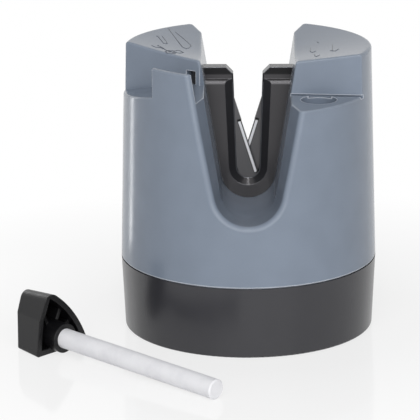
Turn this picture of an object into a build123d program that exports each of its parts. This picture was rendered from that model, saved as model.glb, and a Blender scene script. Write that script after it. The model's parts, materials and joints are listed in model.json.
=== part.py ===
"""Pull through knife sharpener with a loose ceramic rod tool.

A round drum body stands on a dark base. A channel crosses the drum from front to back and
holds a cartridge with two crossed, sprung honing arms. The left pod has a scissors pocket,
and the right pod has a notch that stores the handle of the rod tool, which lies in front.
Origin: centre of the foot on the table. +Z up, -Y towards the front, +X to the right.
"""
import os
from math import cos, radians, sin, sqrt, tan

from build123d import *

# Overall sizes
seam_radius = 42.0
seam_z = 23.4
rim_inset = 1.8
rim_z = 94.1
rim_tilt = 1.6
dish_angle = 8.6
wall = 2.4
overrun = 20.0
running_gap = 0.05
press_gap = 0.01
seat_gap = 0.1
free_gap = 0.3

# Channel through the drum
channel_floor_z = 43.2
mouth_depth = 14.6
throat_floor_radius = 9.1
throat_lean = 9.05
mouth_overreach = 2.0
mouth_flare = 3.0
mouth_floor_rise = 0.8
mouth_lean = 14.2
mouth_edge_round = 1.6
rim_edge_round = 1.0
notch_edge_round = 0.6
edge_points_share = (0.0, 0.25, 0.5, 0.75, 1.0)
edge_middle_share = 0.5

# Rod notch in the right pod, seen from above
facet_setback = 0.2
facet_ahead = 12.5
facet_turn = 5.7
shelf_drop = 13.5
foot_groove_height = 0.35
foot_groove_depth = 1.0
foot_gutter_width = 0.9
foot_gutter_depth = 0.7

# Scissors pocket in the left pod
guide_setback = 1.48
guide_ahead = 15.5
guide_turn = -34.5
pillar_turn = 50.0
pocket_drop = 11.2
pocket_floor_run = 3.0
pocket_floor_slope = 10.8
fin_wall = 1.7
fin_drop = 1.9
fin_end_inset = 11.5
hone_recess_width = 3.6
hone_recess_depth = 5.0
hone_recess_height = 4.6
pillar_width = 1.6
scissor_hone_radius = 1.25
scissor_hone_seat = 1.4

# Rod tool
rod_radius = 3.25
rod_tip_rise = 6.75
rod_grip = 6.5
rod_tip_chamfer = 0.4
rod_setback = 10.95
rod_inset_y = 5.4
handle_gap = 0.25
handle_wall = 1.9
handle_round = 0.7
handle_front_round = 3.2
boss_radius = 4.85
boss_reach = 3.2
rib_thickness = 1.2
rib_drop = 2.6
rib_turns = (66.0, 118.0, 166.0, 20.0)
tool_place_x = -61.7
tool_place_y = -32.7
tool_turn = -42.6
socket_clearance = 0.2
recess_radius = 5.8
recess_depth = 3.4
socket_wall = 1.8

# Base
foot_inset = 1.1
skirt_wall = 2.3
skirt_rise = 0.1
flange_depth = 2.4
flange_width = 9.0
seam_groove_height = 0.5
seam_groove_depth = 0.9
foot_edge_round = 0.5
pad_thickness = 1.6
pad_margin = 0.6
plate_thickness = 2.4
pad_groove_radii = (14.0, 22.0, 30.0)
pad_groove_width = 1.6
pad_groove_depth = 0.5
column_radius = 3.6
column_count = 3
base_screw_setback = 7.4
column_first_turn = 30.0
base_screw_radius = 1.45
base_screw_head_radius = 2.7
base_screw_head_height = 2.0
base_screw_bite = 10.0
drum_boss_radius = 5.4
drum_boss_height = 13.0

# Cartridge
frame_fit = 0.1
frame_half_depth = 4.0
frame_plate = 2.0
frame_rim = 1.1
shoulder_drop = 11.2
frame_drop = 7.3
bar_half_depth = 2.3
shoulder_round = 1.5
slot_floor_rise = 6.4
slot_side = 5.35
slot_lean = 1.9
bevel_floor_rise = 4.3
bevel_side = 2.8
bevel_lean = 2.6
corner_chamfer = 2.2
frame_screw_setback = 2.88
frame_screw_drop = 15.8
frame_screw_radius = 0.85
frame_screw_head_radius = 1.6
frame_screw_head_height = 1.1
frame_boss_radius = 1.9
floor_boss_radius = 1.8
floor_boss_y = 2.0
clamp_half_width = 3.0
clamp_half_length = 5.0
clamp_thickness = 0.8
clamp_screw_radius = 0.85
clamp_screw_head_radius = 1.7
clamp_screw_head_height = 1.3
clamp_screw_bite = 1.4
socket_depth_share = 0.5
socket_width_share = 0.55

# Honing arms
arm_angle = 17.37
arm_pivot_x = 1.94
arm_pivot_rise = 4.1
arm_thickness = 1.75
arm_layer_gap = 0.1
arm_half_width = 2.25
arm_shield_width = 3.6
arm_shield_start = 5.0
arm_shield_end = 8.5
arm_shield_slope = 5.0
arm_top_gap = 5.87
arm_slope_length = 10.0
arm_narrowing = 1.3
pivot_pin_radius = 0.75
strip_width = 0.96
strip_start = 3.75
strip_top_gap = 8.35
strip_notch = 0.05
guard_rise = 0.25
arm_top_round = 0.8
pin_seat = 1.2
spring_rise = 16.2
spring_y = 0.7
spring_coil_radius = 1.0
spring_wire_radius = 0.16
spring_turns = 3

# Sizes and places that follow from the ones above
rim_radius = seam_radius - rim_inset
foot_radius = seam_radius - foot_inset
column_circle_radius = seam_radius - base_screw_setback
mouth_y = seam_radius + mouth_overreach
throat_y = seam_radius - mouth_depth
mouth_floor_radius = throat_floor_radius + mouth_flare
shelf_z = rim_z - shelf_drop
pocket_floor_z = rim_z - pocket_drop
fin_top_z = rim_z - fin_drop
fin_end_x = fin_end_inset - seam_radius
throat_side_x = throat_floor_radius * cos(radians(throat_lean))
throat_side_z = channel_floor_z + throat_floor_radius * (1 - sin(radians(throat_lean)))
shoulder_z = rim_z - shoulder_drop
frame_top_z = rim_z - frame_drop
slot_floor_z = channel_floor_z + slot_floor_rise
slot_radius = throat_floor_radius - slot_side
bevel_floor_z = channel_floor_z + bevel_floor_rise
bevel_radius = throat_floor_radius - bevel_side
frame_screw_z = rim_z - frame_screw_drop
arm_pivot_z = channel_floor_z + arm_pivot_rise
spring_z = arm_pivot_z + spring_rise
arm_length = (shoulder_z - frame_rim - arm_top_gap - arm_pivot_z) / cos(radians(arm_angle))


def throat_half_width(z):
    """Half the width of the channel's straight middle at one height."""
    return throat_side_x + (z - throat_side_z) * tan(radians(throat_lean))


strip_length = arm_length - strip_start - strip_top_gap
facet_point_x = throat_half_width(shelf_z) + facet_setback
facet_point_y = facet_ahead - throat_y
guide_point_x = -throat_half_width(pocket_floor_z) - guide_setback
guide_point_y = guide_ahead - throat_y
frame_screw_x = throat_half_width(frame_screw_z) - frame_screw_setback
wall_slope = (rim_radius - seam_radius) / (rim_z - seam_z)
dish_slope = tan(radians(dish_angle))
dish_flatness_share = 0.9
stock_top_z = rim_z + overrun
skirt_slope = (seam_radius - foot_radius) / seam_z
pad_radius = foot_radius - skirt_wall - pad_margin
facet_along = Vector(cos(radians(facet_turn)), -sin(radians(facet_turn)), 0)
facet_normal = Vector(sin(radians(facet_turn)), cos(radians(facet_turn)), 0)
guide_along = Vector(cos(radians(guide_turn)), sin(radians(guide_turn)), 0)
guide_normal = Vector(-sin(radians(guide_turn)), cos(radians(guide_turn)), 0)
pillar_along = Vector(cos(radians(pillar_turn)), sin(radians(pillar_turn)), 0)
rod_line_start = Vector(facet_point_x, facet_point_y, 0) - facet_normal * rod_inset_y
rod_line_run = rod_line_start.dot(facet_along)
rod_circle_gap = (seam_radius - rod_setback) ** 2 - rod_line_start.dot(rod_line_start)
rod_place = rod_line_start + facet_along * (sqrt(rod_line_run ** 2 + rod_circle_gap) - rod_line_run)
socket_radius = rod_radius + socket_clearance
handle_rim_z = shelf_z + handle_gap
plate_top_z = pad_thickness + plate_thickness
rod_tip_stored_z = plate_top_z + rod_tip_rise
rod_reach = handle_rim_z - boss_reach - rod_tip_stored_z
column_turns = [column_first_turn + 360.0 * step / column_count for step in range(column_count)]


def drum_radius_at(z):
    """Outer radius of the drum at one height."""
    return seam_radius + wall_slope * (z - seam_z)


def turned_solid(points):
    """Solid of revolution about the drum axis from (radius, height) points."""
    outline = Polyline(*[(radius, 0, z) for radius, z in points], close=True)
    return revolve(make_face(outline), Axis.Z)


def tube(place, radius, bottom_z, top_z):
    """Upright round bar between two heights."""
    bar = Cylinder(radius, top_z - bottom_z, align=(Align.CENTER, Align.CENTER, Align.MIN))
    return Pos(place.X, place.Y, bottom_z) * bar


def bar_along_y(x, z, radius, low_y, high_y):
    """Round bar that runs front to back."""
    bar = Cylinder(radius, high_y - low_y, align=(Align.CENTER, Align.CENTER, Align.MIN))
    return Pos(x, high_y, z) * Rot(90, 0, 0) * bar


def u_outline(station_y, radius, centre_z, lean, top_z):
    """U outline with a round floor and leaning sides at one station from front to back."""
    side_x = radius * cos(radians(lean))
    side_z = centre_z - radius * sin(radians(lean))
    top_x = side_x + (top_z - side_z) * tan(radians(lean))
    left_top = (-top_x, station_y, top_z)
    right_top = (top_x, station_y, top_z)
    left_side = (-side_x, station_y, side_z)
    right_side = (side_x, station_y, side_z)
    floor = ThreePointArc(left_side, (0, station_y, centre_z - radius), right_side)
    return Wire([Line(left_top, left_side), floor, Line(right_side, right_top), Line(right_top, left_top)])


def channel_section(station_y, floor_z, floor_radius, lean, grow):
    """U outline of the channel, grown on all sides."""
    return u_outline(station_y, floor_radius + grow, floor_z + floor_radius, lean, stock_top_z)


def channel(grow=0.0):
    """The space of the channel with its two flared mouths, grown on all sides."""
    mouth_floor_z = channel_floor_z + mouth_floor_rise
    stations = [
        channel_section(-mouth_y, mouth_floor_z, mouth_floor_radius, mouth_lean, grow),
        channel_section(-throat_y, channel_floor_z, throat_floor_radius, throat_lean, grow),
        channel_section(throat_y, channel_floor_z, throat_floor_radius, throat_lean, grow),
        channel_section(mouth_y, mouth_floor_z, mouth_floor_radius, mouth_lean, grow),
    ]
    return Solid.make_loft(stations, ruled=True)


def frustum(inset, bottom_z, top_z):
    """Drum cone, drawn in by inset, between two heights."""
    height = top_z - bottom_z
    low = drum_radius_at(bottom_z) - inset
    high = drum_radius_at(top_z) - inset
    cone = Cone(low, high, height, align=(Align.CENTER, Align.CENTER, Align.MIN))
    return Pos(0, 0, bottom_z) * cone


def above_dish(drop=0.0):
    """Everything above the dished and tilted top surface, lowered by drop."""
    reach = seam_radius + overrun
    middle_z = -rim_radius * dish_slope - drop
    edge_z = (reach - rim_radius) * dish_slope - drop
    space = turned_solid([(0, middle_z), (reach, edge_z), (reach, rim_z), (0, rim_z)])
    return Pos(0, 0, rim_z) * Rot(-rim_tilt, 0, 0) * space


def plan_block(corners, bottom_z, top_z):
    """Upright block over a closed outline seen from above."""
    outline = Polyline(*[(corner.X, corner.Y, bottom_z) for corner in corners], close=True)
    return extrude(make_face(outline), top_z - bottom_z, dir=(0, 0, 1))


def before_facet(clearance=0.0, bottom_z=shelf_z):
    """Space in front of the right pod's facet, above the shelf."""
    start = Vector(facet_point_x, facet_point_y, 0) - facet_normal * clearance
    inner = start - facet_along * facet_point_x
    outer = start + facet_along * (seam_radius + overrun)
    corners = [inner, outer, outer - facet_normal * mouth_y, inner - facet_normal * mouth_y]
    return plan_block(corners, bottom_z, stock_top_z)


def before_guide(grow, bottom_z):
    """Space in front of the left pod's slanted facet and of the pillar face beside it."""
    start = Vector(guide_point_x, guide_point_y, 0) + guide_normal * grow
    inner = start + guide_along * overrun
    outer = start - guide_along * (seam_radius + overrun)
    corners = [inner, outer, outer - guide_normal * mouth_y, inner - guide_normal * mouth_y]
    return plan_block([start, inner, start + pillar_along * overrun], bottom_z, stock_top_z) + plan_block(
        corners, bottom_z, stock_top_z
    )


def before_foot_groove():
    """Narrow gutter along the foot of the right pod's facet, cut a little way under it."""
    start = Vector(facet_point_x, facet_point_y, 0) + facet_normal * foot_groove_depth
    inner = start - facet_along * facet_point_x
    outer = start + facet_along * (seam_radius + overrun)
    width = facet_normal * (foot_groove_depth + foot_gutter_width)
    low_z = shelf_z - foot_gutter_depth
    return plan_block([inner, outer, outer - width, inner - width], low_z, shelf_z + foot_groove_height)


def left_half(bottom_z, top_z):
    """Block that covers the left side of the drum."""
    reach = seam_radius + overrun
    corners = [Vector(0, -reach), Vector(0, reach), Vector(-reach, reach), Vector(-reach, -reach)]
    return plan_block(corners, bottom_z, top_z)


def pocket_space(grow=0.0):
    """Scissors pocket: behind the thin outer fin, open to the channel and to the left side."""
    low_z = pocket_floor_z - (seam_radius + overrun) * tan(radians(pocket_floor_slope))
    space = before_guide(grow, low_z) & frustum(fin_wall - grow, low_z, stock_top_z)
    window = plan_block(
        [
            Vector(fin_end_x, -mouth_y),
            Vector(-seam_radius - overrun, -mouth_y),
            Vector(-seam_radius - overrun, mouth_y),
            Vector(fin_end_x, mouth_y),
        ],
        low_z,
        stock_top_z,
    )
    space += before_guide(grow, low_z) & window
    over_fin = before_guide(grow, fin_top_z - grow)
    space += over_fin & left_half(fin_top_z - grow, stock_top_z)
    space &= left_half(low_z, stock_top_z)
    return space - under_pocket_floor(grow)


def under_pocket_floor(grow=0.0):
    """Stock below the pocket floor, which is level at the channel and then falls along the facet."""
    reach = seam_radius + overrun
    floor_z = pocket_floor_z - grow
    far_z = floor_z - (reach - pocket_floor_run) * tan(radians(pocket_floor_slope))
    profile = [(-reach, floor_z), (pocket_floor_run, floor_z), (reach, far_z), (reach, far_z - reach)]
    profile.append((-reach, far_z - reach))
    start = Vector(guide_point_x, guide_point_y, 0) - guide_normal * reach
    corners = [start - guide_along * along + Vector(0, 0, z) for along, z in profile]
    return extrude(make_face(Polyline(*corners, close=True)), reach + reach, dir=tuple(guide_normal))


def hone_recess(grow=0.0):
    """Dark recess beside the pillar, where the scissors hone stands."""
    start = Vector(guide_point_x, guide_point_y, 0) - guide_along * (pillar_width - grow)
    far = start - guide_along * (hone_recess_width + grow + grow)
    back = guide_normal * (hone_recess_depth + grow)
    front = guide_normal * (grow + seat_gap)
    bottom_z = pocket_floor_z - grow
    corners = [start - front, far - front, far + back, start + back]
    return plan_block(corners, bottom_z, bottom_z + hone_recess_height + grow + grow)


def scissor_hone_place():
    """Centre of the scissors hone in its recess."""
    start = Vector(guide_point_x, guide_point_y, 0)
    middle = start - guide_along * (pillar_width + hone_recess_width / 2)
    return middle + guide_normal * (hone_recess_depth / 2)


def column_places():
    """Centres of the base screws, seen from above."""
    return [
        Vector(column_circle_radius * cos(radians(turn)), column_circle_radius * sin(radians(turn)), 0)
        for turn in column_turns
    ]


def edges_near(shape, low, high, test):
    """Edges of a shape whose middle lies between two heights and passes a test."""
    return [edge for edge in shape.edges() if low < edge.center().Z < high and test(edge)]


def right_half(bottom_z, top_z):
    """Block that covers the right side of the drum."""
    reach = seam_radius + overrun
    corners = [Vector(0, -reach), Vector(0, reach), Vector(reach, reach), Vector(reach, -reach)]
    return plan_block(corners, bottom_z, top_z)


def outside_distance(point):
    """Distance of a point from the drum's outer cone."""
    return sqrt(point.X ** 2 + point.Y ** 2) - drum_radius_at(point.Z)


def facet_distance(point):
    """Distance of a point behind the right pod's facet."""
    return (point - Vector(facet_point_x, facet_point_y, point.Z)).dot(facet_normal)


def guide_distance(point):
    """Distance of a point behind the left pod's slanted facet."""
    return (point - Vector(guide_point_x, guide_point_y, point.Z)).dot(guide_normal)


def lies_on(edge, distance):
    """Whether all of an edge lies on a surface, told by a point's distance from it."""
    return all(abs(distance(edge.position_at(share))) < running_gap for share in edge_points_share)


def middle(edge):
    """Point halfway along an edge."""
    return edge.position_at(edge_middle_share)


def mouth_edges(drum):
    """Edges of the channel's two mouths on the outer cone."""
    edges = edges_near(drum, seam_z + wall, stock_top_z - wall, lambda edge: abs(middle(edge).Y) > throat_y)
    return [edge for edge in edges if lies_on(edge, outside_distance)]


def top_edges(drum):
    """Edges round the dished top faces of the two pods."""
    tops = [face for face in drum.faces() if face.center().Z > shelf_z and face.normal_at().Z > dish_flatness_share]
    return [edge for face in tops for edge in face.edges()]


def notch_edges(drum):
    """Sharp edges of the right pod's facet and of the shelf before it."""
    edges = [edge for edge in drum.edges() if middle(edge).X > 0]
    facet = [edge for edge in edges if lies_on(edge, facet_distance) and middle(edge).Z > shelf_z + free_gap]
    shelf = [edge for edge in edges if lies_on(edge, lambda point: point.Z - shelf_z)]
    return facet + [edge for edge in shelf if facet_distance(middle(edge)) < -notch_edge_round]


def pocket_edges(drum):
    """Sharp edges of the left pod's facet, its thin outer fin and the outer lip of the pocket floor."""
    edges = [edge for edge in drum.edges() if middle(edge).X < 0]
    above = [edge for edge in edges if middle(edge).Z > pocket_floor_z + free_gap]
    facet = [edge for edge in above if lies_on(edge, guide_distance) and middle(edge).X < guide_point_x - running_gap]
    front = [edge for edge in above if guide_distance(middle(edge)) < -notch_edge_round]
    fin = [
        edge
        for edge in front
        if lies_on(edge, lambda point: point.Z - fin_top_z) or lies_on(edge, lambda point: point.X - fin_end_x)
    ]
    lip = edges_near(drum, shelf_z - wall, pocket_floor_z, lambda edge: middle(edge).X < fin_end_x)
    return facet + fin + [edge for edge in lip if lies_on(edge, outside_distance)]


def drum_outside():
    """Outer form of the body moulding, still solid inside."""
    drum = frustum(0, seam_z, stock_top_z) - channel()
    drum = fillet(mouth_edges(drum), mouth_edge_round)
    drum -= above_dish()
    drum = fillet(top_edges(drum), rim_edge_round)
    drum -= before_facet() & right_half(shelf_z, stock_top_z)
    drum = fillet(notch_edges(drum), notch_edge_round)
    drum -= before_foot_groove() & right_half(shelf_z - foot_gutter_depth, stock_top_z)
    drum -= pocket_space()
    drum = fillet(pocket_edges(drum), notch_edge_round)
    return drum - hone_recess()


def drum_inside():
    """Hollow of the body moulding: one wall inside every outer face."""
    inside = frustum(wall, seam_z - overrun, stock_top_z) - channel(wall) - above_dish(wall)
    inside -= before_facet(-wall - foot_groove_depth, shelf_z - wall) & right_half(shelf_z - wall, stock_top_z)
    inside -= pocket_space(wall)
    inside -= hone_recess(wall)
    return inside


def drum_shell():
    """Body moulding: drum with the channel, the rod notch and the scissors pocket."""
    drum = drum_outside() - drum_inside()
    socket_tube = tube(rod_place, socket_radius + socket_wall, seam_z + wall, shelf_z - wall / 2)
    recess_cup = tube(rod_place, recess_radius + socket_wall, shelf_z - recess_depth - wall, shelf_z - wall / 2)
    drum += (socket_tube + (recess_cup & frustum(wall / 2, seam_z, stock_top_z))) - channel(wall / 2)
    for place in column_places():
        boss = tube(place, drum_boss_radius, seam_z, seam_z + drum_boss_height)
        drum += boss & frustum(wall / 2, seam_z, stock_top_z)
    for place in column_places():
        screw_top_z = seam_z + base_screw_bite + free_gap
        drum -= tube(place, base_screw_radius + press_gap, seam_z - overrun, screw_top_z)
    drum -= tube(rod_place, socket_radius, seam_z - overrun, stock_top_z)
    drum -= tube(rod_place, recess_radius, shelf_z - recess_depth, shelf_z + foot_groove_height)
    hone_floor_z = pocket_floor_z - scissor_hone_seat
    drum -= tube(scissor_hone_place(), scissor_hone_radius + press_gap, hone_floor_z, pocket_floor_z + wall)
    groove_top_z = seam_z + seam_groove_height
    ring = frustum(-overrun, seam_z - wall, groove_top_z)
    ring -= frustum(seam_groove_depth, seam_z - wall, groove_top_z)
    drum -= ring
    for side in (-1, 1):
        place = Vector(0, side * floor_boss_y, 0)
        drum -= tube(place, floor_boss_radius + seat_gap, channel_floor_z - wall - wall, channel_floor_z + wall)
    return drum


def skirt_radius_at(z):
    """Outer radius of the base skirt at one height."""
    return foot_radius + skirt_slope * z


def base_skirt():
    """Base ring: outer wall with an inner flange that carries the drum."""
    flange_inner = seam_radius - skirt_wall - flange_width
    flange_z = seam_z - flange_depth
    skirt = turned_solid(
        [
            (skirt_radius_at(skirt_rise), skirt_rise),
            (skirt_radius_at(seam_z), seam_z),
            (flange_inner, seam_z),
            (flange_inner, flange_z),
            (skirt_radius_at(flange_z) - skirt_wall, flange_z),
            (skirt_radius_at(skirt_rise) - skirt_wall, skirt_rise),
        ]
    )
    foot_edge = [edge for edge in skirt.edges() if edge.center().Z < skirt_rise + seat_gap]
    foot_edge = sorted(foot_edge, key=lambda edge: edge.radius)[-1]
    skirt = fillet(foot_edge, foot_edge_round)
    for place in column_places():
        skirt -= tube(place, base_screw_radius + free_gap, flange_z - wall, seam_z + wall)
    return skirt - tube(rod_place, socket_radius + socket_wall + free_gap, flange_z - wall, seam_z + wall)


def bottom_plate():
    """Closing plate with the screw columns and the blind socket that takes the stored rod."""
    plate = tube(Vector(0, 0, 0), pad_radius + free_gap, pad_thickness, plate_top_z)
    post_top_z = seam_z + wall - seat_gap
    plate += tube(rod_place, socket_radius + socket_wall, pad_thickness, post_top_z)
    plate -= tube(rod_place, socket_radius, rod_tip_stored_z - free_gap, post_top_z + wall)
    for place in column_places():
        plate += tube(place, column_radius, pad_thickness, seam_z - flange_depth)
    for place in column_places():
        plate -= tube(place, base_screw_radius + free_gap, pad_thickness - wall, seam_z)
        head_top_z = pad_thickness + seat_gap + base_screw_head_height
        plate -= tube(place, base_screw_head_radius + free_gap, pad_thickness - wall, head_top_z)
    return plate


def foot_pad():
    """Soft non-slip disc under the base, with grooves in its face."""
    pad = tube(Vector(0, 0, 0), pad_radius, 0, pad_thickness)
    for radius in pad_groove_radii:
        groove = tube(Vector(0, 0, 0), radius + pad_groove_width / 2, -pad_thickness, pad_groove_depth)
        groove -= tube(Vector(0, 0, 0), radius - pad_groove_width / 2, -pad_thickness, pad_groove_depth)
        pad -= groove
    return pad


def upright_screw(place, head_z, head_radius, head_height, shank_radius, tip_z):
    """Screw with its head below and a hexagon socket in the head."""
    screw = tube(place, head_radius, head_z, head_z + head_height)
    screw += tube(place, shank_radius, head_z + head_height, tip_z)
    socket = extrude(RegularPolygon(head_radius * socket_width_share, 6), head_height * socket_depth_share)
    return screw - Pos(place.X, place.Y, head_z) * socket


def base_screws():
    """Long screws from the bottom plate through the skirt into the drum."""
    return Compound(
        [
            upright_screw(
                place,
                pad_thickness + seat_gap,
                base_screw_head_radius,
                base_screw_head_height,
                base_screw_radius,
                seam_z + base_screw_bite,
            )
            for place in column_places()
        ]
    )


def scissor_hone():
    """Short ceramic rod in the recess of the scissors pocket."""
    top_z = pocket_floor_z + hone_recess_height - free_gap
    return tube(scissor_hone_place(), scissor_hone_radius, pocket_floor_z - scissor_hone_seat, top_z)


def u_block(radius, centre_z, lean, top_z, low_y, high_y):
    """Straight U section between two stations from front to back."""
    outline = u_outline(low_y, radius, centre_z, lean, top_z)
    return extrude(Face(outline), high_y - low_y, dir=(0, 1, 0))


def cartridge_half(screw_heads):
    """Front half of the cartridge; turned round it is the rear half."""
    throat_centre_z = channel_floor_z + throat_floor_radius
    outer_radius = throat_floor_radius - frame_fit
    half = u_block(outer_radius, throat_centre_z, throat_lean, frame_top_z, -frame_half_depth, 0)
    hollow_top_z = shoulder_z - frame_rim
    inner_radius = outer_radius - frame_rim
    half -= u_block(inner_radius, throat_centre_z, throat_lean, hollow_top_z, -frame_plate, 0)
    reach = seam_radius + overrun
    setback = Box(reach, reach, reach, align=(Align.CENTER, Align.MAX, Align.MIN))
    half -= Pos(0, -bar_half_depth, shoulder_z) * setback
    shoulder = edges_near(
        half,
        shoulder_z - frame_fit,
        shoulder_z + frame_fit,
        lambda edge: edge.center().Y < frame_fit - frame_half_depth,
    )
    half = fillet(shoulder, shoulder_round)
    for side in (-1, 1):
        half += bar_along_y(side * frame_screw_x, frame_screw_z, frame_boss_radius, -frame_plate, 0)
    slot_centre_z = slot_floor_z + slot_radius
    half -= u_block(slot_radius, slot_centre_z, slot_lean, frame_top_z + wall, -reach, reach)
    bevel_centre_z = bevel_floor_z + bevel_radius
    inner_bevel = u_outline(-frame_plate, slot_radius, slot_centre_z, slot_lean, frame_top_z + wall)
    outer_bevel = u_outline(-frame_half_depth, bevel_radius, bevel_centre_z, bevel_lean, frame_top_z + wall)
    half -= Solid.make_loft([inner_bevel, outer_bevel], ruled=True)
    slot_top = slot_radius + (frame_top_z - slot_centre_z) * tan(radians(slot_lean))
    corner = Polyline(
        (-slot_top - corner_chamfer, -reach, frame_top_z),
        (0, -reach, frame_top_z - corner_chamfer - slot_top),
        (slot_top + corner_chamfer, -reach, frame_top_z),
        close=True,
    )
    half -= extrude(make_face(corner), reach + reach, dir=(0, 1, 0))
    for side in (-1, 1):
        pin_radius = pivot_pin_radius + press_gap
        half -= bar_along_y(side * arm_pivot_x, arm_pivot_z, pin_radius, -frame_plate - pin_seat, 0)
        screw_x = side * frame_screw_x
        if screw_heads:
            half -= bar_along_y(screw_x, frame_screw_z, frame_screw_radius + running_gap, -reach, 0)
            head_y = -frame_half_depth + frame_screw_head_height
            half -= bar_along_y(screw_x, frame_screw_z, frame_screw_head_radius + running_gap, -reach, head_y)
        else:
            hole_y = -frame_plate - pin_seat
            half -= bar_along_y(screw_x, frame_screw_z, frame_screw_radius + press_gap, hole_y, 0)
    boss_place = Vector(0, -floor_boss_y, 0)
    boss_low_z = channel_floor_z - wall + seat_gap
    half += tube(boss_place, floor_boss_radius, boss_low_z, channel_floor_z + frame_rim)
    hole_top_z = channel_floor_z + clamp_screw_bite + free_gap
    return half - tube(boss_place, clamp_screw_radius + press_gap, boss_low_z - wall, hole_top_z)


def about_drum_axis(shape):
    """The same piece on the other side of the drum axis."""
    return Rot(0, 0, 180) * shape


def frame_screws():
    """Small screws that hold the two cartridge halves together, heads at the rear."""
    screws = []
    for side in (-1, 1):
        screw_x = side * frame_screw_x
        head_y = frame_half_depth - frame_screw_head_height
        screw = bar_along_y(screw_x, frame_screw_z, frame_screw_radius, -frame_plate - frame_rim, head_y)
        screw += bar_along_y(screw_x, frame_screw_z, frame_screw_head_radius, head_y, frame_half_depth)
        socket_y = frame_half_depth - frame_screw_head_height * socket_depth_share
        socket_half = frame_screw_head_radius * socket_width_share
        screw -= bar_along_y(screw_x, frame_screw_z, socket_half, socket_y, frame_half_depth + wall)
        screws.append(screw)
    return Compound(screws)


def clamp_plate():
    """Plate under the channel floor that the cartridge is screwed down to."""
    plate = Box(
        clamp_half_width + clamp_half_width,
        clamp_half_length + clamp_half_length,
        clamp_thickness,
        align=(Align.CENTER, Align.CENTER, Align.MAX),
    )
    plate = Pos(0, 0, channel_floor_z - wall) * plate
    for side in (-1, 1):
        place = Vector(0, side * floor_boss_y, 0)
        plate -= tube(place, clamp_screw_radius + seat_gap, seam_z, channel_floor_z)
    return plate


def clamp_screws():
    """Screws from the clamp plate up into the cartridge halves."""
    head_z = channel_floor_z - wall - clamp_thickness - clamp_screw_head_height
    return Compound(
        [
            upright_screw(
                Vector(0, side * floor_boss_y, 0),
                head_z,
                clamp_screw_head_radius,
                clamp_screw_head_height,
                clamp_screw_radius,
                channel_floor_z + clamp_screw_bite,
            )
            for side in (-1, 1)
        ]
    )


def arm_point(along, across):
    """Place on the left arm: along it from the pivot, and across it towards the blade."""
    x = arm_pivot_x - along * sin(radians(arm_angle)) + across * cos(radians(arm_angle))
    z = arm_pivot_z + along * cos(radians(arm_angle)) + across * sin(radians(arm_angle))
    return (x, -arm_layer_gap - arm_thickness, z)


def arm_plate(points):
    """Flat piece in the left arm's layer."""
    return extrude(make_face(Polyline(*points, close=True)), arm_thickness, dir=(0, 1, 0))


def honing_arm():
    """Left arm: a flat bar with a round pivot end and a groove for its ceramic strip."""
    groove = arm_half_width - strip_width
    strip_end = strip_start + strip_length + strip_notch
    guard = arm_half_width + guard_rise
    arm = arm_plate(
        [
            arm_point(0, arm_half_width),
            arm_point(strip_start, arm_half_width),
            arm_point(strip_start, groove),
            arm_point(strip_end, groove),
            arm_point(strip_end, guard),
            arm_point(arm_length, guard),
            arm_point(arm_length, arm_narrowing - arm_half_width),
            arm_point(arm_length - arm_slope_length, -arm_half_width),
            arm_point(arm_shield_end + arm_shield_slope, -arm_half_width),
            arm_point(arm_shield_end, -arm_shield_width),
            arm_point(arm_shield_start, -arm_shield_width),
            arm_point(0, -arm_half_width),
        ]
    )
    top_z = arm_point(arm_length - arm_top_round, 0)[2]
    tops = [edge for edge in arm.edges().filter_by(Axis.Y) if edge.center().Z > top_z - arm_half_width / 2]
    tops = [edge for edge in tops if edge.center().Z > arm_point(strip_end + strip_notch, guard)[2]]
    arm = fillet(tops, arm_top_round)
    layer_y = -arm_layer_gap - arm_thickness
    arm += bar_along_y(arm_pivot_x, arm_pivot_z, arm_half_width, layer_y, -arm_layer_gap)
    return arm - bar_along_y(arm_pivot_x, arm_pivot_z, pivot_pin_radius + running_gap, layer_y, -arm_layer_gap)


def honing_strip():
    """White ceramic strip on the left arm's edge."""
    groove = arm_half_width - strip_width
    strip_end = strip_start + strip_length
    return arm_plate(
        [
            arm_point(strip_start, groove),
            arm_point(strip_start, arm_half_width),
            arm_point(strip_end, arm_half_width),
            arm_point(strip_end, groove),
        ]
    )


def pivot_pin():
    """Pin through both cartridge halves that the left arm turns on."""
    end_y = frame_plate + pin_seat - running_gap
    return bar_along_y(arm_pivot_x, arm_pivot_z, pivot_pin_radius, -end_y, end_y)


def return_spring():
    """Small coil spring between the cartridge's side wall and the left arm."""
    inner_radius = throat_floor_radius - frame_fit - frame_rim
    low_z = spring_z - spring_coil_radius - spring_wire_radius
    high_z = spring_z + spring_coil_radius + spring_wire_radius
    throat_centre_z = channel_floor_z + throat_floor_radius
    side_z = throat_centre_z - inner_radius * sin(radians(throat_lean))
    wall_x = inner_radius * cos(radians(throat_lean)) + (low_z - side_z) * tan(radians(throat_lean))
    along = (high_z - arm_pivot_z + arm_half_width * sin(radians(arm_angle))) / cos(radians(arm_angle))
    arm_x = arm_point(along, -arm_half_width)[0]
    start_x = running_gap - wall_x + spring_wire_radius
    length = arm_x - running_gap - spring_wire_radius - start_x
    path = Helix(length / spring_turns, length, spring_coil_radius)
    wire = Plane(origin=path @ 0, z_dir=path % 0) * Circle(spring_wire_radius)
    coil = sweep(wire, path, is_frenet=True)
    return Pos(start_x, -spring_y, spring_z) * Rot(0, 90, 0) * coil


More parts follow.
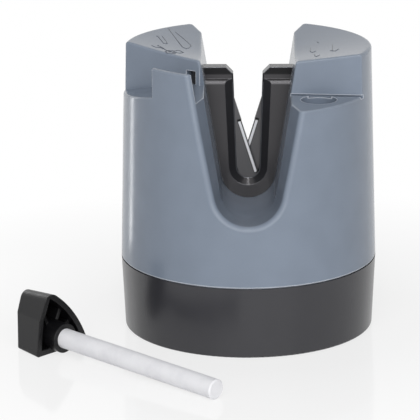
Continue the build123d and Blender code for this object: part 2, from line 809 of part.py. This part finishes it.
def stored_handle():
    """Handle of the rod tool as it sits in the rod notch."""
    outside = before_facet(handle_gap, handle_rim_z) & right_half(handle_rim_z, stock_top_z)
    outside = (outside & frustum(0, handle_rim_z, stock_top_z)) - channel()
    mouth = [edge for edge in mouth_edges(outside) if middle(edge).Z > handle_rim_z + handle_front_round]
    outside = fillet(mouth, handle_front_round) - above_dish()
    sharp = [edge for edge in outside.edges() if edge.center().Z > handle_rim_z + handle_round]
    outside = fillet(sharp, handle_round)
    hollow_low_z = handle_rim_z - wall
    hollow = before_facet(handle_gap + handle_wall, hollow_low_z) & right_half(hollow_low_z, stock_top_z)
    hollow = (hollow & frustum(handle_wall, hollow_low_z, stock_top_z)) - channel(handle_wall)
    hollow -= above_dish(handle_wall)
    handle = outside - hollow
    rib_low_z = handle_rim_z + rib_drop
    for turn in rib_turns:
        rib = Box(seam_radius, rib_thickness, stock_top_z - rib_low_z, align=(Align.MIN, Align.CENTER, Align.MIN))
        rib = Pos(rod_place.X, rod_place.Y, rib_low_z) * Rot(0, 0, -facet_turn - turn) * rib
        handle += rib & outside
    boss_low_z = handle_rim_z - boss_reach
    boss = tube(rod_place, boss_radius, boss_low_z, stock_top_z) - above_dish(handle_wall / 2)
    handle += boss
    return handle - tube(rod_place, rod_radius + press_gap, boss_low_z - wall, handle_rim_z + rod_grip)


def stored_rod():
    """Ceramic rod of the tool, below its handle in the socket."""
    rod = tube(rod_place, rod_radius, rod_tip_stored_z, handle_rim_z + rod_grip - seat_gap)
    tip = [edge for edge in rod.edges() if edge.center().Z < rod_tip_stored_z + rod_tip_chamfer]
    return chamfer([edge for edge in tip if edge.geom_type == GeomType.CIRCLE], rod_tip_chamfer)


def laid_down(shape):
    """Take a piece of the rod tool from its notch to the table in front of the drum."""
    side_drop = rod_inset_y - handle_gap
    tip_reach = boss_reach + rod_reach - rod_tip_chamfer
    slope = (side_drop - rod_radius) / tip_reach
    length = sqrt(1 + slope * slope)
    ahead_x = cos(radians(tool_turn))
    ahead_y = sin(radians(tool_turn))
    side_point = rod_place + facet_normal * side_drop + Vector(0, 0, handle_rim_z)
    stored = Plane(origin=side_point, x_dir=facet_along, z_dir=(0, 0, 1))
    lying = Plane(
        origin=(tool_place_x, tool_place_y, 0),
        x_dir=(-ahead_y, ahead_x, 0),
        z_dir=(-ahead_x / length, -ahead_y / length, slope / length),
    )
    return lying.location * stored.location.inverse() * shape


def pieces():
    """Every piece of the sharpener by its node name."""
    left_arm = honing_arm()
    left_strip = honing_strip()
    left_pin = pivot_pin()
    left_spring = return_spring()
    return {
        "drum_shell": drum_shell(),
        "base_skirt": base_skirt(),
        "bottom_plate": bottom_plate(),
        "foot_pad": foot_pad(),
        "base_screws": base_screws(),
        "scissor_hone": scissor_hone(),
        "cartridge_front_half": cartridge_half(False),
        "cartridge_rear_half": about_drum_axis(cartridge_half(True)),
        "cartridge_screws": frame_screws(),
        "clamp_plate": clamp_plate(),
        "clamp_screws": clamp_screws(),
        "left_honing_arm": left_arm,
        "right_honing_arm": about_drum_axis(left_arm),
        "left_ceramic_strip": left_strip,
        "right_ceramic_strip": about_drum_axis(left_strip),
        "left_pivot_pin": left_pin,
        "right_pivot_pin": about_drum_axis(left_pin),
        "left_return_spring": left_spring,
        "right_return_spring": about_drum_axis(left_spring),
        "rod_handle": laid_down(stored_handle()),
        "honing_rod": laid_down(stored_rod()),
    }


os.makedirs("parts", exist_ok=True)
for node, piece in pieces().items():
    export_step(piece, "parts/" + node + ".step")
    print(node, round(piece.volume, 1))
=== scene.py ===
"""Looks of the pull through knife sharpener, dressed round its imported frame."""
import json
from math import cos, pi, radians, sin, sqrt, tan

import bmesh
import bpy
from mathutils import Matrix, Vector


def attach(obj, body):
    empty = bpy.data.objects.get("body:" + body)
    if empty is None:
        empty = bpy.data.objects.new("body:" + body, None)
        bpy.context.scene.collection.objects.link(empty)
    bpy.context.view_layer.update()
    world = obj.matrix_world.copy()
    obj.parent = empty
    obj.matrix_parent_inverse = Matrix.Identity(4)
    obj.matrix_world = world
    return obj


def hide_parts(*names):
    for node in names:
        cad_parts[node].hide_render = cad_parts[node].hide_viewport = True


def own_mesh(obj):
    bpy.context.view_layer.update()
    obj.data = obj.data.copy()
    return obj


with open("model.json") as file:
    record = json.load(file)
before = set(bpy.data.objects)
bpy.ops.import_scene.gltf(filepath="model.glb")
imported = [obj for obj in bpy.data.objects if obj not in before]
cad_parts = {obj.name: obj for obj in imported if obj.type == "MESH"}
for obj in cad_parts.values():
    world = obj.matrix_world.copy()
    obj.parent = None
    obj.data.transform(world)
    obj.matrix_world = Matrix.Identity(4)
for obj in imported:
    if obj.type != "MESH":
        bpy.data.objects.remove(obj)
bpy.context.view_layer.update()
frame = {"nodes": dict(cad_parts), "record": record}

MM = 0.001
WHITE = (1.0, 1.0, 1.0, 1.0)
WHITE_STRENGTH = 1.0

# Camera of the photograph, lengths in metres
IMAGE_PIXELS = 420
AXIS_COLUMN = 248.35
CAMERA_DISTANCE = 1.0492
CAMERA_ELEVATION = radians(16.11)
CAMERA_AIM_Z = 0.0378
CAMERA_FOCAL_PIXELS = 3178.0
CAMERA_ROLL = radians(0.2)
CAMERA_NEAR = 0.05
CAMERA_FAR = 20.0
SENSOR_MM = 36.0

# World and lamps: a lamp has its place, the point that it looks at, its width and height in
# metres, and its power in watts
WORLD_STRENGTH = 0.34
LAMPS = {
    "key": ((0.08, -0.95, 0.42), (0, 0, 0.05), 1.4, 0.8, 9.6),
    "left_rim": ((-0.1185, 0.063, 0.055), (-0.0385, -0.014, 0.055), 0.01, 0.11, 0.02),
    "top": ((0.0, -0.35, 0.72), (0, 0, 0.08), 0.05, 0.7, 0.9),
}

# Floor, lengths in metres: its white is held back to FLOOR_LIFT near the object
FLOOR_RADIUS = 3.0
FLOOR_SIDES = 96
FLOOR_DROP = 0.02 * MM
FLOOR_COLOUR = (0.8, 0.8, 0.8, 1.0)
FLOOR_LIFT = 0.76
FLOOR_NEAR = 0.055
FLOOR_FAR = 0.16
FLOOR_GLOSS = 0.06
FLOOR_GLOSS_ROUGHNESS = 0.08

# Display curve of sRGB
DISPLAY_MAX = 255.0
CURVE_KNEE = 0.04045
CURVE_SLOPE = 12.92
CURVE_OFFSET = 0.055
CURVE_POWER = 2.4


def linear(*display):
    """Linear colour with alpha, from red, green and blue as displayed, 0 to 255."""
    colour = []
    for value in display:
        share = value / DISPLAY_MAX
        if share <= CURVE_KNEE:
            colour.append(share / CURVE_SLOPE)
        else:
            colour.append(((share + CURVE_OFFSET) / (1.0 + CURVE_OFFSET)) ** CURVE_POWER)
    return (*colour, 1.0)


def link_object(name, data):
    """New object in the scene."""
    thing = bpy.data.objects.new(name, data)
    bpy.context.scene.collection.objects.link(thing)
    return thing


def add_camera():
    """Camera at the photograph's place, with its slight roll."""
    data = bpy.data.cameras.new("photo_camera")
    data.sensor_width = SENSOR_MM
    data.lens = CAMERA_FOCAL_PIXELS / IMAGE_PIXELS * SENSOR_MM
    data.shift_x = (IMAGE_PIXELS / 2 - AXIS_COLUMN) / IMAGE_PIXELS
    data.clip_start = CAMERA_NEAR
    data.clip_end = CAMERA_FAR
    camera = link_object("photo_camera", data)
    ahead = Vector((0, cos(CAMERA_ELEVATION), -sin(CAMERA_ELEVATION)))
    up = Vector((0, sin(CAMERA_ELEVATION), cos(CAMERA_ELEVATION)))
    right = Vector((1, 0, 0))
    turned_right = right * cos(CAMERA_ROLL) - up * sin(CAMERA_ROLL)
    turned_up = up * cos(CAMERA_ROLL) + right * sin(CAMERA_ROLL)
    place = Vector((0, 0, CAMERA_AIM_Z)) - ahead * CAMERA_DISTANCE
    rotation = Matrix((turned_right, turned_up, -ahead)).transposed().to_4x4()
    camera.matrix_world = Matrix.Translation(place) @ rotation
    bpy.context.scene.camera = camera


class Nodes:
    """Short form for building the node tree of a material or world."""

    MIX_COLOURS = (6, 7)
    MIX_RESULT = 2

    def __init__(self, owner):
        owner.use_nodes = True
        self.tree = owner.node_tree
        self.tree.nodes.clear()

    def feed(self, socket, value):
        """Set an input to a value, or join an output to it."""
        if isinstance(value, bpy.types.NodeSocket):
            self.tree.links.new(value, socket)
        else:
            socket.default_value = value

    def add(self, kind, **values):
        """New node; each value is for the property or else the input of that name."""
        node = self.tree.nodes.new(kind)
        for key, value in values.items():
            if hasattr(node, key):
                setattr(node, key, value)
            else:
                self.feed(node.inputs[key.replace("_", " ")], value)
        return node

    def maths(self, operation, *values):
        """Result of one calculation with numbers or outputs."""
        node = self.add("ShaderNodeMath", operation=operation)
        for socket, value in zip(node.inputs, values):
            self.feed(socket, value)
        return node.outputs["Value"]

    def ramp(self, factor, low, high, low_value, high_value):
        """Numbers from low to high mapped onto another range."""
        node = self.add(
            "ShaderNodeMapRange", Value=factor,
            From_Min=low, From_Max=high, To_Min=low_value, To_Max=high_value,
        )
        return node.outputs["Result"]

    def noise(self, place, scale, detail, roughness=0.5):
        """Noise from 0 to 1, with scale in features per metre."""
        node = self.add(
            "ShaderNodeTexNoise", Vector=place, Scale=scale, Detail=detail, Roughness=roughness,
        )
        return node.outputs["Fac"]

    def mix(self, factor, first, second):
        """Colour between two colours."""
        node = self.add("ShaderNodeMix", data_type="RGBA", Factor=factor)
        for index, value in zip(self.MIX_COLOURS, (first, second)):
            self.feed(node.inputs[index], value)
        return node.outputs[self.MIX_RESULT]

    def blend(self, factor, first, second):
        """Shader between two shaders."""
        node = self.add("ShaderNodeMixShader")
        for socket, value in zip(node.inputs, (factor, first, second)):
            self.feed(socket, value)
        return node.outputs["Shader"]

    def seen(self):
        """1 for what the camera sees, directly, in gloss or through glass, and 0 for light."""
        paths = self.add("ShaderNodeLightPath")
        seen = paths.outputs["Is Camera Ray"]
        for kind in ("Is Glossy Ray", "Is Transmission Ray"):
            seen = self.maths("MAXIMUM", seen, paths.outputs[kind])
        return seen


def start_material(name):
    """New material, its nodes, and its coordinates in the part's frame."""
    material = bpy.data.materials.new(name)
    nodes = Nodes(material)
    return material, nodes, nodes.add("ShaderNodeTexCoord").outputs["Object"]


# Moulded plastic, lengths in mm
GRAIN_DETAIL = 3.0
GRAIN_ROUGHNESS = 0.6
GRAIN_RANGE = (0.35, 0.65)
GRAIN_LEVELS = (0.3, 0.7)
MOTTLE_MM = 9.0
MOTTLE_DETAIL = 1.0
MOTTLE_RANGE = (0.3, 0.7)
MOTTLE_SHARE = 0.5
GRAIN_SHARE = 0.5
ROUGHNESS_SPREAD = 0.012
EDGE_SAMPLES = 4
# Painted highlight on outer edges, found by occlusion towards the inside: its samples, range and
# pale colour
HIGHLIGHT_SAMPLES = 6
HIGHLIGHT_RANGE = (0.88, 0.5)
PAINTED_HIGHLIGHT = linear(228, 232, 240)
# Painted shade on upper parts: its dark colour, and the height in mm over which it fades in
PAINTED_SHADE_TOP = linear(12, 12, 15)
SHADE_FADE = 0.3


def moulded_material(
    name, colour, grain_mm, grain_depth_mm, roughness, tint=0.06, specular=0.5,
    metallic=0.0, edge_mm=0.2, edge_highlight=0.0, edge_highlight_mm=0.0, shade_above=None,
):
    """Moulded plastic with fine grain, and slightly uneven in colour and gloss.

    tint is how far the colour varies, and edge_mm rounds the shading of edges. The next two
    arguments give outer edges a painted highlight: how pale, and over about how many mm. Above
    the height in mm given last, the colour turns dark as painted shade.
    """
    material, nodes, place = start_material(name)
    grain = nodes.noise(place, 1.0 / (grain_mm * MM), GRAIN_DETAIL, GRAIN_ROUGHNESS)
    mottle = nodes.noise(place, 1.0 / (MOTTLE_MM * MM), MOTTLE_DETAIL)
    dark = tuple(value * (1 - tint) for value in colour[:3]) + (1.0,)
    light = tuple(min(1.0, value * (1 + tint)) for value in colour[:3]) + (1.0,)
    uneven = nodes.ramp(mottle, *MOTTLE_RANGE, 0.0, 1.0)
    speckle = nodes.maths("MULTIPLY", nodes.ramp(grain, *GRAIN_RANGE, *GRAIN_LEVELS), GRAIN_SHARE)
    blend = nodes.maths("MULTIPLY_ADD", uneven, MOTTLE_SHARE, speckle)
    surface = nodes.mix(blend, dark, light)
    # Painted shade: the colour turns dark above the given height
    if shade_above:
        height = nodes.add("ShaderNodeSeparateXYZ", Vector=place).outputs["Z"]
        fade = ((shade_above - SHADE_FADE) * MM, (shade_above + SHADE_FADE) * MM)
        surface = nodes.mix(nodes.ramp(height, *fade, 0.0, 1.0), surface, PAINTED_SHADE_TOP)
    # Painted highlight: outer edges turn pale
    if edge_highlight:
        outer = nodes.add(
            "ShaderNodeAmbientOcclusion", samples=HIGHLIGHT_SAMPLES, inside=True, only_local=True,
            Distance=edge_highlight_mm * MM,
        )
        wear_and_highlight = nodes.ramp(outer.outputs["AO"], *HIGHLIGHT_RANGE, 0.0, edge_highlight)
        surface = nodes.mix(wear_and_highlight, surface, PAINTED_HIGHLIGHT)
    bump = nodes.add("ShaderNodeBump", Strength=1.0, Distance=grain_depth_mm * MM, Height=grain)
    if edge_mm:
        edges = nodes.add("ShaderNodeBevel", samples=EDGE_SAMPLES, Radius=edge_mm * MM)
        nodes.feed(bump.inputs["Normal"], edges.outputs["Normal"])
    smoothest, roughest = roughness - ROUGHNESS_SPREAD, roughness + ROUGHNESS_SPREAD
    shader = nodes.add(
        "ShaderNodeBsdfPrincipled", Base_Color=surface, Metallic=metallic,
        Roughness=nodes.ramp(mottle, *MOTTLE_RANGE, smoothest, roughest),
        Specular_IOR_Level=specular, Normal=bump.outputs["Normal"],
    )
    nodes.add("ShaderNodeOutputMaterial", Surface=shader.outputs["BSDF"])
    return material


# White ceramic, with its grain and rub marks in features per metre
CERAMIC_GRAIN = 4500.0
CERAMIC_GRAIN_DETAIL = 2.0
CERAMIC_BUMP = 0.6
CERAMIC_BUMP_DEPTH = 0.02 * MM
CERAMIC_MARKS = 160.0
CERAMIC_MARKS_DETAIL = 5.0
CERAMIC_MARKS_ROUGHNESS = 0.6
CERAMIC_MARKS_RANGE = (0.45, 0.75)
CERAMIC_CLEAN = linear(226, 226, 229)
CERAMIC_MARKED = linear(216, 216, 220)
CERAMIC_ROUGHNESS = 0.62


def ceramic_material(name):
    """Matte white sintered ceramic with faint grey rub marks."""
    material, nodes, place = start_material(name)
    grain = nodes.noise(place, CERAMIC_GRAIN, CERAMIC_GRAIN_DETAIL)
    marks = nodes.noise(place, CERAMIC_MARKS, CERAMIC_MARKS_DETAIL, CERAMIC_MARKS_ROUGHNESS)
    wear_and_highlight = nodes.ramp(marks, *CERAMIC_MARKS_RANGE, 0.0, 1.0)
    bump = nodes.add(
        "ShaderNodeBump", Strength=CERAMIC_BUMP, Distance=CERAMIC_BUMP_DEPTH, Height=grain,
    )
    shader = nodes.add(
        "ShaderNodeBsdfPrincipled", Base_Color=nodes.mix(wear_and_highlight, CERAMIC_CLEAN, CERAMIC_MARKED),
        Roughness=CERAMIC_ROUGHNESS, Normal=bump.outputs["Normal"],
    )
    nodes.add("ShaderNodeOutputMaterial", Surface=shader.outputs["BSDF"])
    return material


# Plated steel, with its grain in features per metre
STEEL_GRAIN = 2600.0
STEEL_GRAIN_DETAIL = 3.0
STEEL_GRAIN_RANGE = (0.3, 0.7)
STEEL_ROUGHNESS = (0.28, 0.4)
STEEL_DARK = linear(168, 168, 172)
STEEL_LIGHT = linear(196, 196, 198)


def steel_material(name):
    """Plain plated steel of screws, pins and springs."""
    material, nodes, place = start_material(name)
    grain = nodes.noise(place, STEEL_GRAIN, STEEL_GRAIN_DETAIL)
    shader = nodes.add(
        "ShaderNodeBsdfPrincipled", Metallic=1.0,
        Base_Color=nodes.mix(grain, STEEL_DARK, STEEL_LIGHT),
        Roughness=nodes.ramp(grain, *STEEL_GRAIN_RANGE, *STEEL_ROUGHNESS),
    )
    nodes.add("ShaderNodeOutputMaterial", Surface=shader.outputs["BSDF"])
    return material


def floor_material():
    """White floor that stays white to the camera and still shows the object's shadow."""
    material, nodes, place = start_material("floor_white")
    away = nodes.add("ShaderNodeVectorMath", operation="LENGTH", Vector=place).outputs["Value"]
    lift = nodes.ramp(away, FLOOR_NEAR, FLOOR_FAR, FLOOR_LIFT, 1.0)
    diffuse = nodes.add("ShaderNodeBsdfDiffuse", Color=FLOOR_COLOUR).outputs["BSDF"]
    glow = nodes.add("ShaderNodeEmission", Color=WHITE, Strength=WHITE_STRENGTH)
    matte = nodes.blend(
        nodes.maths("MULTIPLY", nodes.seen(), lift), diffuse, glow.outputs["Emission"],
    )
    gloss = nodes.add("ShaderNodeBsdfGlossy", Color=WHITE, Roughness=FLOOR_GLOSS_ROUGHNESS)
    polished = nodes.blend(FLOOR_GLOSS, matte, gloss.outputs["BSDF"])
    nodes.add("ShaderNodeOutputMaterial", Surface=polished)
    return material


def add_world():
    """Even pale surroundings, white to the camera and in gloss."""
    world = bpy.data.worlds.new("studio")
    bpy.context.scene.world = world
    nodes = Nodes(world)
    strength = nodes.ramp(nodes.seen(), 0.0, 1.0, WORLD_STRENGTH, WHITE_STRENGTH)
    background = nodes.add("ShaderNodeBackground", Color=WHITE, Strength=strength)
    nodes.add("ShaderNodeOutputWorld", Surface=background.outputs["Background"])


def add_lamp(name, place, aim, width, height, power):
    """Soft lamp box that looks at a point."""
    data = bpy.data.lights.new(name, "AREA")
    data.shape = "RECTANGLE"
    data.size = width
    data.size_y = height
    data.energy = power
    lamp = link_object(name, data)
    ahead = (Vector(aim) - Vector(place)).normalized()
    lamp.rotation_euler = ahead.to_track_quat("-Z", "Y").to_euler()
    lamp.location = place
    lamp.visible_camera = False


def add_floor():
    """Round white floor, part of the stage."""
    mesh = bpy.data.meshes.new("floor")
    work = bmesh.new()
    bmesh.ops.create_circle(work, cap_ends=True, segments=FLOOR_SIDES, radius=FLOOR_RADIUS)
    work.to_mesh(mesh)
    work.free()
    floor = link_object("floor", mesh)
    mesh.materials.append(floor_material())
    floor.location.z = -FLOOR_DROP


add_camera()
add_world()
for lamp_name, lamp_values in LAMPS.items():
    add_lamp(lamp_name, *lamp_values)
add_floor()

# Finishes: the record's material slots, and three looks of the scene's own
MOULDED = {
    "drum_plastic": dict(
        colour=linear(119, 129, 143), grain_mm=0.4, grain_depth_mm=0.006, roughness=0.2,
        # painted highlight on the outer edges
        specular=0.3, edge_mm=0.15, edge_highlight=0.75, edge_highlight_mm=0.4,
    ),
    "base_plastic": dict(
        colour=linear(46, 46, 50), grain_mm=0.4, grain_depth_mm=0.004, roughness=0.26,
        tint=0.05, edge_mm=0.0,
    ),
    "pad_rubber": dict(
        colour=linear(38, 38, 40), grain_mm=0.3, grain_depth_mm=0.02, roughness=0.8,
        specular=0.25,
    ),
    "cartridge_plastic": dict(
        colour=linear(62, 61, 63), grain_mm=0.4, grain_depth_mm=0.002, roughness=0.2,
        # painted highlight on the outer edges, and painted shade from 84.4 mm up
        metallic=0.6, edge_mm=0.3, edge_highlight=0.25, edge_highlight_mm=0.3, shade_above=84.4,
    ),
    "arm_plastic": dict(
        colour=linear(80, 79, 81), grain_mm=0.16, grain_depth_mm=0.006, roughness=0.4,
        edge_mm=0.12,
    ),
    "handle_plastic": dict(
        colour=linear(13, 13, 15), grain_mm=0.34, grain_depth_mm=0.06, roughness=0.34,
        specular=0.3, edge_mm=0.5,
    ),
    # painted shade: a dark colour that hides the hone in its shaded pocket
    "hone_painted_shade": dict(
        colour=linear(40, 40, 44), grain_mm=0.2, grain_depth_mm=0.01, roughness=0.5,
        specular=0.3,
    ),
    # painted shade: pictogram lines darker than the top they stand on
    "stroke_painted_shade": dict(
        colour=linear(72, 78, 90), grain_mm=0.4, grain_depth_mm=0.004, roughness=0.3,
        edge_mm=0.0,
    ),
    # dark plates round the strips: the holder's dark lip, and painted shade and shadow
    "strip_lip_and_shade": dict(
        colour=linear(14, 14, 16), grain_mm=0.3, grain_depth_mm=0.004, roughness=0.4,
        specular=0.2, edge_mm=0.0,
    ),
}
FINISHES = {name: moulded_material(name, **values) for name, values in MOULDED.items()}
FINISHES["white_ceramic"] = ceramic_material("white_ceramic")
FINISHES["screw_steel"] = steel_material("screw_steel")


def dress(node, finish):
    """Give a CAD node its finish."""
    mesh = frame["nodes"][node].data
    mesh.materials.clear()
    mesh.materials.append(FINISHES[finish])


for subpart in frame["record"]["subparts"]:
    dress(subpart["node"], subpart["material_slot"])
# The hone is painted dark as the shade of its pocket
dress("scissor_hone", "hone_painted_shade")


def add_piece(name, data, finish, body):
    """New piece that rides on a body."""
    data.materials.append(FINISHES[finish])
    piece = link_object(name, data)
    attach(piece, body)
    return piece


def add_mesh(name, work, finish, body):
    """New piece from a bmesh, which is freed."""
    mesh = bpy.data.meshes.new(name)
    bmesh.ops.recalc_face_normals(work, faces=work.faces)
    work.to_mesh(mesh)
    work.free()
    return add_piece(name, mesh, finish, body)


# Honing arms, in mm: the pivot and the y of the faces in the part's frame, each face with the
# way that it looks, and the strip and the dark plates round it, partly painted shade, along or
# across the arm from the pivot
ARM_PIVOT_X = 1.94
ARM_PIVOT_Z = 47.3
ARM_ANGLE = radians(17.37)
ARM_FACES = ((-1.85, -1), (-0.1, 1))
STRIP_START = 3.75
STRIP_END = 21.65
STRIP_EDGE = 2.25
STRIP_GROOVE = 1.29
PLATE_THICKNESS = 0.06
# Blade side rail: partly the holder's dark lip, partly painted shadow of the gap to the other arm
EDGE_LIP_AND_SHADOW = (STRIP_EDGE - 0.12, STRIP_EDGE + 0.1)
# Groove side rail: painted shadow line
GROOVE_SHADOW_LINE = (STRIP_GROOVE - 0.14, STRIP_GROOVE + 0.02)
# Cap at the tip: painted shade of a recess
TIP_SHADE_LENGTH = 0.75
TIP_SHADE_EDGE = STRIP_EDGE + 0.25
FOOT_CAP_LENGTH = 0.25
LIP_AND_SHADE_PLATES = (
    (STRIP_START, STRIP_END, *EDGE_LIP_AND_SHADOW),
    (STRIP_START, STRIP_END, *GROOVE_SHADOW_LINE),
    (STRIP_END, STRIP_END + TIP_SHADE_LENGTH, GROOVE_SHADOW_LINE[0], TIP_SHADE_EDGE),
    (STRIP_START - FOOT_CAP_LENGTH, STRIP_START, GROOVE_SHADOW_LINE[0], STRIP_EDGE),
)
PLATE_QUADS = (
    (0, 1, 2, 3), (4, 5, 6, 7), (0, 1, 5, 4), (1, 2, 6, 5), (2, 3, 7, 6), (3, 0, 4, 7),
)


def arm_place(along, across, y, turn):
    """Place on an arm: turn is 1 for the left arm and -1 for the right one."""
    x = ARM_PIVOT_X - along * sin(ARM_ANGLE) + across * cos(ARM_ANGLE)
    z = ARM_PIVOT_Z + along * cos(ARM_ANGLE) + across * sin(ARM_ANGLE)
    return Vector((x * turn, y * turn, z)) * MM


def add_strip_lip_and_shade(name, turn, body):
    """Thin dark rails and end caps round the ceramic strip, on both faces of an arm. The rail on
    the groove side is a painted shadow line, the rail on the blade side is partly the holder's
    dark lip and partly painted shadow of the gap to the other arm, and the cap at the tip is
    painted shade of a recess.
    """
    work = bmesh.new()
    for face, outward in ARM_FACES:
        for start, end, inner, outer in LIP_AND_SHADE_PLATES:
            corners = [
                work.verts.new(arm_place(along, across, y, turn))
                for y in (face, face + outward * PLATE_THICKNESS)
                for along, across in ((start, inner), (end, inner), (end, outer), (start, outer))
            ]
            for quad in PLATE_QUADS:
                work.faces.new([corners[index] for index in quad])
    add_mesh(name, work, "strip_lip_and_shade", body)


# Dished tops of the pods and the lines on them, in mm
DISH_RIM_Z = 94.1
DISH_RIM_RADIUS = 40.2
DISH_SLOPE = tan(radians(8.6))
DISH_TILT = sin(radians(1.6))
STROKE_RADIUS = 0.13
STROKE_ROUNDNESS = 2
LEFT_STROKES = (
    (
        (-26.5, 27.5), (-23.9, 17.6), (-21.3, 7.4), (-20.2, 6.2),
        (-19.2, 7.9), (-18.6, 10.8), (-20.4, 15.9), (-24.1, 24.3),
    ),
    ((-30.2, 17.2), (-29.7, 17.0), (-27.6, 9.2), (-26.4, 9.4), (-26.8, 12.3), (-28.4, 18.1)),
    ((-31.4, 4.0), (-30.1, 2.2), (-28.4, 2.6), (-26.6, 0.2), (-25.3, -2.1)),
    ((-29.5, 5.4), (-27.8, 3.0), (-26.5, -0.3), (-24.2, 0.6)),
    (
        (-24.2, -0.2), (-23.1, 2.1), (-22.1, 2.1), (-20.9, 0.2),
        (-22.2, -1.9), (-23.6, -1.4), (-24.2, -0.2),
    ),
    (
        (-26.9, -2.2), (-25.7, -0.5), (-24.4, -2.0), (-23.5, -3.1),
        (-24.8, -4.1), (-26.3, -4.3), (-26.9, -2.2),
    ),
)
RIGHT_STROKES = (
    ((20.5, 5.5), (20.3, 1.8), (21.0, -0.6), (22.1, 0.7)),
    ((21.6, -3.6), (21.6, -7.0), (22.2, -9.2), (23.2, -6.9)),
    ((22.8, 12.8), (23.3, 11.7)),
    ((27.7, 6.5), (27.5, -2.0)),
    ((26.8, -1.8), (28.3, -4.1), (29.5, -1.3)),
)


def dish_point(x, y):
    """Place on the dished top above one point of the plan."""
    z = DISH_RIM_Z + (sqrt(x * x + y * y) - DISH_RIM_RADIUS) * DISH_SLOPE - y * DISH_TILT
    return (x * MM, y * MM, z * MM)


def add_strokes(name, strokes):
    """Fine raised outline of a pictogram on a pod's top, darker than the top as painted shade of
    the relief.
    """
    data = bpy.data.curves.new(name, "CURVE")
    data.dimensions = "3D"
    data.bevel_depth = STROKE_RADIUS * MM
    data.bevel_resolution = STROKE_ROUNDNESS
    for stroke in strokes:
        spline = data.splines.new("POLY")
        spline.points.add(len(stroke) - 1)
        for point, (x, y) in zip(spline.points, stroke):
            point.co = (*dish_point(x, y), 1.0)
    add_piece(name, data, "stroke_painted_shade", "housing")


# Return springs, in mm in the part's frame
COIL_START = -9.39
COIL_END = -6.06
COIL_Y = -0.7
COIL_Z = 63.5
COIL_RADIUS = 1.0
WIRE_RADIUS = 0.16
COIL_TURNS = 3
COIL_STEPS = 28
WIRE_SIDES = 10


def add_coil(name, turn, node):
    """Coil of a return spring on the housing, in place of the CAD node, which is hidden."""
    work = bmesh.new()
    rings = []
    steps = COIL_TURNS * COIL_STEPS
    for step in range(steps + 1):
        angle = 2 * pi * step / COIL_STEPS
        middle_x = COIL_START + (COIL_END - COIL_START) * step / steps
        ring = []
        for side in range(WIRE_SIDES):
            around = 2 * pi * side / WIRE_SIDES
            reach = COIL_RADIUS + WIRE_RADIUS * cos(around)
            x = middle_x + WIRE_RADIUS * sin(around)
            y = COIL_Y + reach * cos(angle)
            z = COIL_Z + reach * sin(angle)
            ring.append(work.verts.new(Vector((x * turn, y * turn, z)) * MM))
        rings.append(ring)
    for first, second in zip(rings, rings[1:]):
        for side in range(WIRE_SIDES):
            beside = (side + 1) % WIRE_SIDES
            quad = (first[side], first[beside], second[beside], second[side])
            work.faces.new(quad).smooth = True
    work.faces.new(rings[0])
    work.faces.new(rings[-1])
    piece = add_mesh(name, work, "screw_steel", "housing")
    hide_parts(node)
    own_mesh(piece)


add_coil("left_spring_coil", 1, "left_return_spring")
add_coil("right_spring_coil", -1, "right_return_spring")
add_strip_lip_and_shade("left_strip_lip_and_shade", 1, "left_arm")
add_strip_lip_and_shade("right_strip_lip_and_shade", -1, "right_arm")
add_strokes("left_pictogram", LEFT_STROKES)
add_strokes("right_pictogram", RIGHT_STROKES)

bpy.context.scene.view_settings.view_transform = "Standard"
